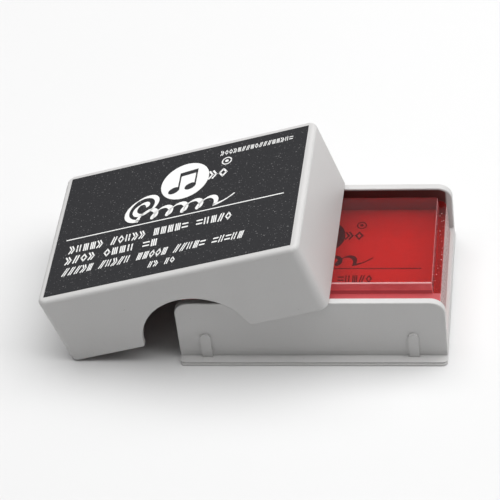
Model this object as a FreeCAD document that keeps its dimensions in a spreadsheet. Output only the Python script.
import FreeCAD, Part
import Sketcher
import math
import os

# Rosin cake in a two-part plastic box, with its cover leaning across the open tray.
# Millimetres. +X runs along the length of the tray, +Y across it, +Z up.
# The origin is the middle of the tray's underside, on the surface the tray stands on.

SIZES = {
    # tray
    "tray_length": 57.0,
    "tray_width": 37.0,
    "tray_rise": 16.4,
    "tray_wall": 1.6,
    "crest_radius": 3.2,
    "crest_round": 0.3,
    "ledge_reach": 2.0,
    "ledge_top": 1.0,
    "foot_reach": 0.25,
    "foot_rise": 0.5,
    "foot_corner": 1.0,
    "deck_top": 4.8,
    "deck_thickness": 1.6,
    "web_thickness": 1.6,
    "rib_width": 2.2,
    "rib_clearance": 0.1,
    "rib_rise": 6.6,
    "left_rib_inset": 5.9,
    "right_rib_inset": 7.0,
    # printed sheet and rosin cake
    "print_end_margin": 2.05,
    "print_side_margin": 0.3,
    "print_thickness": 0.15,
    "slab_side_gap": 0.1,
    "slab_end_gap": 0.75,
    "slab_corner": 2.0,
    "slab_taper": 2.5,
    "block_end_step": 1.95,
    "block_front_step": 4.25,
    "block_rear_step": 2.45,
    "block_rise": 3.0,
    "block_drop": 0.05,
    "block_taper": 3.0,
    "cake_edge": 0.3,
    # cover and its label
    "crown_gap": 1.3,
    "cover_wall": 1.1,
    "cover_roof": 1.2,
    "end_gap": 0.15,
    "side_gap": 0.6,
    "cover_corner": 2.0,
    "crown_round": 1.0,
    "lip_round": 0.25,
    "notch_radius": 12.15,
    "notch_drop": 1.35,
    "notch_foot": 0.8,
    "label_margin": 1.6,
    "label_thickness": 0.12,
    # how the cover leans on the tray
    "shown_length": 24.6,
    "rest_gap": 0.1,
    "lean_yaw": -1.2,
}

# Sizes that follow from the ones above.
TROUGH_WIDTH = "(Sizes.tray_width - 2 * Sizes.tray_wall)"
PRINT_TOP = "(Sizes.deck_top + Sizes.print_thickness)"
SLAB_LENGTH = "(Sizes.tray_length - 2 * Sizes.slab_end_gap)"
SLAB_WIDTH = "(%s - 2 * Sizes.slab_side_gap)" % TROUGH_WIDTH
SLAB_TOP = "(Sizes.tray_rise - Sizes.block_drop - Sizes.block_rise)"
RIB_PROUD = "(Sizes.side_gap - Sizes.rib_clearance)"
COVER_LENGTH = "(Sizes.tray_length + 2 * (Sizes.end_gap + Sizes.cover_wall))"
COVER_WIDTH = "(Sizes.tray_width + 2 * (Sizes.side_gap + Sizes.cover_wall))"
CAVITY_DEPTH = "(Sizes.tray_rise - Sizes.ledge_top + Sizes.crown_gap)"
COVER_RISE = "(%s + Sizes.cover_roof)" % CAVITY_DEPTH

# The cover's right end wall rests across the tops of the tray's side walls while its left
# bottom edge stands on the table, and that settles the angle of lean. The rounded lip lets
# the left edge sink a little, which the rest gap makes up for.
REST_SPAN = "(%s - Sizes.cover_wall)" % COVER_LENGTH
LEAN = "asin((Sizes.tray_rise + Sizes.rest_gap) / %s)" % REST_SPAN
LIP_SINK = "(Sizes.lip_round * (sin(%s) + cos(%s) - 1))" % (LEAN, LEAN)
REST_X = "(Sizes.tray_length / 2 - Sizes.shown_length)"
REST_MIDDLE = "(%s / 2 - Sizes.cover_wall)" % COVER_LENGTH

# The cover turns a little inside its side gap, about the middle of the covered length.
REST_Y = "(tan(Sizes.lean_yaw * 1deg) * (Sizes.tray_length - Sizes.shown_length) / 2)"

UP = FreeCAD.Vector(0, 0, 1)
ACROSS = FreeCAD.Vector(0, 1, 0)
TINY = 1e-4

# Rough sizes that outlines are drawn at, before their dimensions pull them into shape.
DRAWN_HALF = 10.0
DRAWN_RADIUS = 1.0
DRAWN_RISE = 15.0

doc = FreeCAD.newDocument("rosin_box")


def make_sheet():
    """Put every driving dimension in one spreadsheet, one alias to a row."""
    sheet = doc.addObject("Spreadsheet::Sheet", "Sizes")
    for row, (alias, value) in enumerate(SIZES.items(), start=1):
        sheet.set("A%d" % row, alias)
        sheet.set("B%d" % row, str(value))
        sheet.setAlias("B%d" % row, alias)
    doc.recompute()
    return sheet


def new_body(name):
    body = doc.addObject("PartDesign::Body", name)
    body.Label = name
    return body


def new_sketch(body, name, role, lift="0", shift="0"):
    """Attach an empty sketch to one of the body's origin planes, moved along Z and Y."""
    planes = {feature.Role: feature for feature in body.Origin.OriginFeatures}
    sketch = body.newObject("Sketcher::SketchObject", name)
    sketch.AttachmentSupport = [(planes[role], "")]
    sketch.MapMode = "FlatFace"
    sketch.setExpression("AttachmentOffset.Base.z", lift)
    sketch.setExpression("AttachmentOffset.Base.y", shift)
    return sketch


def bind(sketch, constraint, name, expression):
    """Add a named dimension to a sketch and tie it to an expression."""
    index = sketch.addConstraint(constraint)
    sketch.renameConstraint(index, name)
    sketch.setExpression("Constraints." + name, expression)


def rectangle_sketch(body, name, length, width, lift="0", shift="0", corner=None):
    """Draw a rectangle centred on the origin of a horizontal sketch, square or round cornered."""
    sketch = new_sketch(body, name, "XY_Plane", lift, shift)
    half = DRAWN_HALF
    radius = DRAWN_RADIUS if corner else 0.0
    signs = [(-1, -1), (1, -1), (1, 1), (-1, 1)]
    corners = [FreeCAD.Vector(half * x, half * y, 0) for x, y in signs]
    for side in range(4):
        start, end = corners[side], corners[(side + 1) % 4]
        inset = (end - start).normalize() * radius
        sketch.addGeometry(Part.LineSegment(start + inset, end - inset), False)
    for side, kind in enumerate(["Horizontal", "Vertical", "Horizontal", "Vertical"]):
        sketch.addConstraint(Sketcher.Constraint(kind, side))
    if corner:
        for turn, (x, y) in enumerate(signs):
            middle = FreeCAD.Vector((half - radius) * x, (half - radius) * y, 0)
            start = math.pi * (1 + turn / 2)
            arc = Part.ArcOfCircle(Part.Circle(middle, UP, radius), start, start + math.pi / 2)
            sketch.addGeometry(arc, False)
            sketch.addConstraint(Sketcher.Constraint("Tangent", (turn + 3) % 4, 2, 4 + turn, 1))
            sketch.addConstraint(Sketcher.Constraint("Tangent", 4 + turn, 2, turn, 1))
        for turn in range(1, 4):
            sketch.addConstraint(Sketcher.Constraint("Equal", 4, 4 + turn))
        bind(sketch, Sketcher.Constraint("Radius", 4, radius), "corner", corner)
        sketch.addConstraint(Sketcher.Constraint("Symmetric", 4, 3, 6, 3, -1, 1))
    else:
        for side in range(4):
            sketch.addConstraint(Sketcher.Constraint("Coincident", side, 2, (side + 1) % 4, 1))
        sketch.addConstraint(Sketcher.Constraint("Symmetric", 0, 1, 2, 1, -1, 1))
    bind(sketch, Sketcher.Constraint("DistanceX", 3, 1, 1, 1, 2 * half), "length", length)
    bind(sketch, Sketcher.Constraint("DistanceY", 0, 1, 2, 1, 2 * half), "width", width)
    return sketch


def extrude(body, kind, name, sketch, length, backwards=False, both_ways=False):
    """Add a pad or a pocket, and stop unless it adds or takes away material as it should."""
    before = body.Shape.Volume if body.Tip else 0.0
    feature = body.newObject("PartDesign::" + kind, name)
    feature.Profile = sketch
    feature.Reversed = backwards
    feature.SideType = "Symmetric" if both_ways else "One side"
    feature.setExpression("Length", length)
    doc.recompute()
    change = feature.Shape.Volume - before
    if (change if kind == "Pad" else -change) < TINY:
        raise RuntimeError("%s changed the volume by %.4f" % (name, change))
    return feature


def edge_names(shape, wanted):
    """Name the edges of a shape whose two ends and middle satisfy a test."""
    return ["Edge%d" % number for number, edge in enumerate(shape.Edges, start=1) if wanted(edge)]


def runs_along(edge, direction):
    if edge.Curve.TypeId != "Part::GeomLine":
        return False
    return edge.Curve.Direction.cross(direction).Length < TINY


def round_edges(body, name, radius, wanted):
    """Fillet the edges of the body's last feature that satisfy a test."""
    base = body.Tip
    names = edge_names(base.Shape, wanted)
    if not names:
        raise RuntimeError("no edges found for " + name)
    fillet = body.newObject("PartDesign::Fillet", name)
    fillet.Base = (base, names)
    fillet.setExpression("Radius", radius)
    doc.recompute()
    return fillet


def value(expression_or_alias):
    """Read a driving size, or work out an expression of driving sizes, as a number."""
    result = sizes.evalExpression(expression_or_alias)
    return float(getattr(result, "Value", result))


def near(first, second):
    return abs(first - second) < TINY


def make_tray():
    """Trough with open ends, a raised deck, a stepped ledge and grip ribs."""
    body = new_body("tray")
    ledge_width = "Sizes.tray_width + 2 * Sizes.ledge_reach"
    foot = rectangle_sketch(body, "foot_outline", "Sizes.tray_length",
                            ledge_width + " + 2 * Sizes.foot_reach", corner="Sizes.foot_corner")
    extrude(body, "Pad", "foot", foot, "Sizes.foot_rise")
    ledge = rectangle_sketch(body, "ledge_outline", "Sizes.tray_length", ledge_width,
                             corner="Sizes.foot_corner")
    extrude(body, "Pad", "ledge", ledge, "Sizes.ledge_top")
    walls = new_sketch(body, "wall_profile", "XZ_Plane")
    draw_wall_profile(walls)
    extrude(body, "Pad", "wall_block", walls, "Sizes.tray_width", both_ways=True)

    ribs = new_sketch(body, "rib_outline", "XZ_Plane")
    draw_ribs(ribs)
    extrude(body, "Pad", "grip_ribs", ribs, "Sizes.tray_width + 2 * " + RIB_PROUD, both_ways=True)

    trough = rectangle_sketch(body, "trough_outline", "2 * Sizes.tray_length", TROUGH_WIDTH,
                              lift="Sizes.deck_top")
    extrude(body, "Pocket", "trough", trough, "Sizes.tray_rise", backwards=True)
    hollow_depth = "Sizes.deck_top - Sizes.deck_thickness"
    hollow = rectangle_sketch(body, "hollow_outline", "Sizes.tray_length - 2 * Sizes.tray_wall",
                              TROUGH_WIDTH)
    extrude(body, "Pocket", "hollow", hollow, hollow_depth, backwards=True)
    web = rectangle_sketch(body, "web_outline", "Sizes.web_thickness", TROUGH_WIDTH)
    extrude(body, "Pad", "cross_web", web, hollow_depth)

    faces = [value("Sizes.tray_width / 2"), value(TROUGH_WIDTH + " / 2")]
    crest = value("Sizes.tray_rise")
    tray_end = value("Sizes.tray_length / 2")
    deck_top = value("Sizes.deck_top")

    def wall_edge(edge):
        """An edge of a side wall's crest or upright end, on its outer or its inner face."""
        box = edge.BoundBox
        on_face = any(near(abs(box.Center.y), face) for face in faces) and box.YLength < TINY
        upright = near(abs(box.Center.x), tray_end) and box.ZMax > deck_top + TINY
        return on_face and (near(box.ZMax, crest) or upright)

    round_edges(body, "wall_edges", "Sizes.crest_round", wall_edge)
    return body


def draw_wall_profile(sketch):
    """Draw the side view of a long wall: a flat foot, upright ends and two rounded crests."""
    half, rise, radius = DRAWN_HALF, DRAWN_RISE, DRAWN_RADIUS
    crown = [FreeCAD.Vector(x * (half - radius), rise - radius, 0) for x in (1, -1)]
    points = [(-half, 0), (half, 0), (half, rise - radius), (half - radius, rise),
              (radius - half, rise), (-half, rise - radius)]
    low_left, low_right, right, top_right, top_left, left = [
        FreeCAD.Vector(x, z, 0) for x, z in points]
    foot, end_right, crest, end_left, arc_right, arc_left = range(6)
    sketch.addGeometry(Part.LineSegment(low_left, low_right), False)
    sketch.addGeometry(Part.LineSegment(low_right, right), False)
    sketch.addGeometry(Part.LineSegment(top_right, top_left), False)
    sketch.addGeometry(Part.LineSegment(left, low_left), False)
    sketch.addGeometry(Part.ArcOfCircle(Part.Circle(crown[0], UP, radius), 0, math.pi / 2), False)
    sketch.addGeometry(Part.ArcOfCircle(Part.Circle(crown[1], UP, radius), math.pi / 2, math.pi), False)
    for line, kind in ((foot, "Horizontal"), (end_right, "Vertical"), (crest, "Horizontal"),
                       (end_left, "Vertical")):
        sketch.addConstraint(Sketcher.Constraint(kind, line))
    sketch.addConstraint(Sketcher.Constraint("Coincident", foot, 2, end_right, 1))
    sketch.addConstraint(Sketcher.Constraint("Coincident", end_left, 2, foot, 1))
    sketch.addConstraint(Sketcher.Constraint("Tangent", end_right, 2, arc_right, 1))
    sketch.addConstraint(Sketcher.Constraint("Tangent", arc_right, 2, crest, 1))
    sketch.addConstraint(Sketcher.Constraint("Tangent", crest, 2, arc_left, 1))
    sketch.addConstraint(Sketcher.Constraint("Tangent", arc_left, 2, end_left, 1))
    sketch.addConstraint(Sketcher.Constraint("Equal", arc_right, arc_left))
    sketch.addConstraint(Sketcher.Constraint("Symmetric", foot, 1, foot, 2, -1, 1))
    bind(sketch, Sketcher.Constraint("Radius", arc_right, radius), "crest", "Sizes.crest_radius")
    bind(sketch, Sketcher.Constraint("DistanceX", foot, 1, foot, 2, 2 * half), "length",
         "Sizes.tray_length")
    bind(sketch, Sketcher.Constraint("DistanceY", foot, 1, crest, 1, rise), "rise", "Sizes.tray_rise")


def draw_ribs(sketch):
    """Draw two round-topped ribs, one each side of the middle, rooted in the ledge."""
    for side, name in ((-1, "left"), (1, "right")):
        first = len(sketch.Geometry)
        foot, straight, half = DRAWN_RADIUS, DRAWN_RISE, DRAWN_RADIUS
        middle = side * DRAWN_HALF
        low_left = FreeCAD.Vector(middle - half, foot, 0)
        low_right = FreeCAD.Vector(middle + half, foot, 0)
        high_right = FreeCAD.Vector(middle + half, straight, 0)
        high_left = FreeCAD.Vector(middle - half, straight, 0)
        crown = Part.Circle(FreeCAD.Vector(middle, straight, 0), UP, half)
        sketch.addGeometry(Part.LineSegment(low_left, low_right), False)
        sketch.addGeometry(Part.LineSegment(low_right, high_right), False)
        sketch.addGeometry(Part.ArcOfCircle(crown, 0, math.pi), False)
        sketch.addGeometry(Part.LineSegment(high_left, low_left), False)
        base, right, arc, left = range(first, first + 4)
        sketch.addConstraint(Sketcher.Constraint("Coincident", base, 2, right, 1))
        sketch.addConstraint(Sketcher.Constraint("Tangent", right, 2, arc, 1))
        sketch.addConstraint(Sketcher.Constraint("Tangent", arc, 2, left, 1))
        sketch.addConstraint(Sketcher.Constraint("Coincident", left, 2, base, 1))
        sketch.addConstraint(Sketcher.Constraint("Horizontal", base))
        sketch.addConstraint(Sketcher.Constraint("Vertical", right))
        sketch.addConstraint(Sketcher.Constraint("Vertical", left))
        bind(sketch, Sketcher.Constraint("DistanceX", base, 1, base, 2, 2 * half),
             "width_" + name, "Sizes.rib_width")
        bind(sketch, Sketcher.Constraint("DistanceY", -1, 1, base, 1, foot),
             "foot_" + name, "Sizes.foot_rise")
        bind(sketch, Sketcher.Constraint("DistanceY", base, 1, arc, 3, straight - foot),
             "rise_" + name, "Sizes.rib_rise + Sizes.ledge_top - Sizes.foot_rise - Sizes.rib_width / 2")
        ends = (-1, 1, arc, 3) if side > 0 else (arc, 3, -1, 1)
        bind(sketch, Sketcher.Constraint("DistanceX", *ends, abs(middle)),
             "station_" + name, "Sizes.tray_length / 2 - Sizes.%s_rib_inset" % name)


def make_printed_sheet():
    """Paper sheet that lies on the deck under the cake."""
    sheet = doc.addObject("Part::Box", "printed_sheet")
    sheet.Label = "printed_sheet"
    sheet.setExpression("Length", SLAB_LENGTH + " - 2 * Sizes.print_end_margin")
    sheet.setExpression("Width", SLAB_WIDTH + " - 2 * Sizes.print_side_margin")
    sheet.setExpression("Height", "Sizes.print_thickness")
    sheet.setExpression("Placement.Base.x", "-Length / 2")
    sheet.setExpression("Placement.Base.y", "-Width / 2")
    sheet.setExpression("Placement.Base.z", "Sizes.deck_top")
    doc.recompute()
    return sheet


def make_cake():
    """One casting: a foot slab between the tray's walls with a drafted block above it."""
    body = new_body("rosin_cake")
    slab = rectangle_sketch(body, "slab_outline", SLAB_LENGTH, SLAB_WIDTH, lift=PRINT_TOP,
                            corner="Sizes.slab_corner")
    slab_pad = extrude(body, "Pad", "slab", slab, SLAB_TOP + " - " + PRINT_TOP)
    slab_pad.setExpression("TaperAngle", "-Sizes.slab_taper")
    doc.recompute()

    block = rectangle_sketch(body, "block_outline", SLAB_LENGTH + " - 2 * Sizes.block_end_step",
                             SLAB_WIDTH + " - Sizes.block_front_step - Sizes.block_rear_step",
                             lift=SLAB_TOP,
                             shift="(Sizes.block_front_step - Sizes.block_rear_step) / 2")
    block_pad = extrude(body, "Pad", "block", block, "Sizes.block_rise")
    block_pad.setExpression("TaperAngle", "-Sizes.block_taper")
    doc.recompute()

    slab_top = value(SLAB_TOP)
    block_top = value(SLAB_TOP + " + Sizes.block_rise")

    def block_corner(edge):
        box = edge.BoundBox
        return near(box.ZMin, slab_top) and near(box.ZMax, block_top)

    round_edges(body, "block_corners", "Sizes.cake_edge", block_corner)
    round_edges(body, "block_edges", "Sizes.cake_edge",
                lambda edge: near(edge.BoundBox.ZMin, block_top))
    outer = value(SLAB_WIDTH) / 2 - value("Sizes.slab_corner")

    def slab_rim(edge):
        box = edge.BoundBox
        at_top = near(box.ZMin, slab_top) and near(box.ZMax, slab_top)
        reach = max(abs(box.YMin), abs(box.YMax))
        at_end = near(abs(box.Center.x), value(SLAB_LENGTH) / 2)
        return at_top and (reach > outer + TINY or at_end)

    round_edges(body, "slab_edges", "Sizes.cake_edge", slab_rim)
    return body


def make_cover():
    """Five-sided box with a round thumb notch through both long walls."""
    body = new_body("cover")
    outer = rectangle_sketch(body, "outer_outline", COVER_LENGTH, COVER_WIDTH,
                             corner="Sizes.cover_corner")
    extrude(body, "Pad", "outer_block", outer, COVER_RISE)
    cover_rise = value(COVER_RISE)
    round_edges(body, "crown", "Sizes.crown_round", lambda edge: near(edge.BoundBox.ZMin, cover_rise))

    inner = rectangle_sketch(body, "cavity_outline", COVER_LENGTH + " - 2 * Sizes.cover_wall",
                             COVER_WIDTH + " - 2 * Sizes.cover_wall",
                             corner="Sizes.cover_corner - Sizes.cover_wall")
    extrude(body, "Pocket", "cavity", inner, CAVITY_DEPTH, backwards=True)

    notch = new_sketch(body, "notch_outline", "XZ_Plane")
    middle = FreeCAD.Vector(0, -DRAWN_RADIUS, 0)
    notch.addGeometry(Part.Circle(middle, UP, DRAWN_HALF), False)
    notch.addConstraint(Sketcher.Constraint("PointOnObject", 0, 3, -2))
    bind(notch, Sketcher.Constraint("Radius", 0, DRAWN_HALF), "radius", "Sizes.notch_radius")
    bind(notch, Sketcher.Constraint("DistanceY", 0, 3, -1, 1, DRAWN_RADIUS), "drop",
         "Sizes.notch_drop")
    extrude(body, "Pocket", "thumb_notches", notch, "2 * " + COVER_WIDTH, both_ways=True)

    def notch_foot(edge):
        box = edge.BoundBox
        inside = abs(box.Center.x) < value("Sizes.notch_radius")
        return runs_along(edge, ACROSS) and near(box.ZMax, 0) and inside

    round_edges(body, "notch_feet", "Sizes.notch_foot", notch_foot)

    side_face = value(COVER_WIDTH) / 2
    side_top = cover_rise - value("Sizes.crown_round")
    inner_end = value(COVER_LENGTH) / 2 - value("Sizes.cover_wall")
    inner_side = side_face - value("Sizes.cover_wall")

    def lip_edge(edge):
        """An edge of the rim or of a notch, on the cover's outer faces."""
        box = edge.BoundBox
        on_rim = near(box.ZMax, 0)
        outside = abs(box.Center.x) > inner_end + TINY or abs(box.Center.y) > inner_side + TINY
        on_side_face = near(abs(box.Center.y), side_face) and box.YLength < TINY
        around_notch = on_side_face and box.ZMax < side_top - TINY
        return outside and (on_rim or around_notch)

    round_edges(body, "lip", "Sizes.lip_round", lip_edge)
    place_cover(body)
    return body


def make_cover_label():
    """Adhesive label on the flat of the cover's top, the same margin from every edge."""
    body = new_body("cover_label")
    outline = rectangle_sketch(body, "label_outline", COVER_LENGTH + " - 2 * Sizes.label_margin",
                               COVER_WIDTH + " - 2 * Sizes.label_margin", lift=COVER_RISE)
    extrude(body, "Pad", "label_sheet", outline, "Sizes.label_thickness")
    place_cover(body)
    return body


def place_cover(piece):
    """Lean a piece drawn about the middle of the cover's rim, as the cover leans."""
    along = "(%s * cos(%s))" % (REST_MIDDLE, LEAN)
    piece.setExpression("Placement.Rotation.Yaw", "Sizes.lean_yaw * 1deg")
    piece.setExpression("Placement.Rotation.Pitch", "-" + LEAN)
    piece.setExpression("Placement.Base.x", "%s - %s * cos(Sizes.lean_yaw * 1deg)" % (REST_X, along))
    piece.setExpression("Placement.Base.y", "%s - %s * sin(Sizes.lean_yaw * 1deg)" % (REST_Y, along))
    piece.setExpression("Placement.Base.z", "%s / 2 * sin(%s) - %s" % (COVER_LENGTH, LEAN, LIP_SINK))
    doc.recompute()


def check_document(pieces):
    """Stop if any object failed, or if a piece has no sound solid."""
    for item in doc.Objects:
        if "Invalid" in item.State or "Error" in item.State:
            raise RuntimeError("%s failed: %s" % (item.Name, item.State))
    for piece in pieces:
        if piece.Shape.isNull() or not piece.Shape.isValid() or not piece.Shape.Solids:
            raise RuntimeError("no sound solid in " + piece.Label)


sizes = make_sheet()
pieces = [make_tray(), make_printed_sheet(), make_cake(), make_cover(), make_cover_label()]
doc.recompute()
check_document(pieces)

os.makedirs("parts", exist_ok=True)
for piece in pieces:
    piece.Shape.exportStep("parts/%s.step" % piece.Label)
    box = piece.Shape.BoundBox
    print("%-14s %9.1f mm3  x %.2f..%.2f  y %.2f..%.2f  z %.2f..%.2f" % (
        piece.Label, piece.Shape.Volume, box.XMin, box.XMax, box.YMin, box.YMax, box.ZMin, box.ZMax))
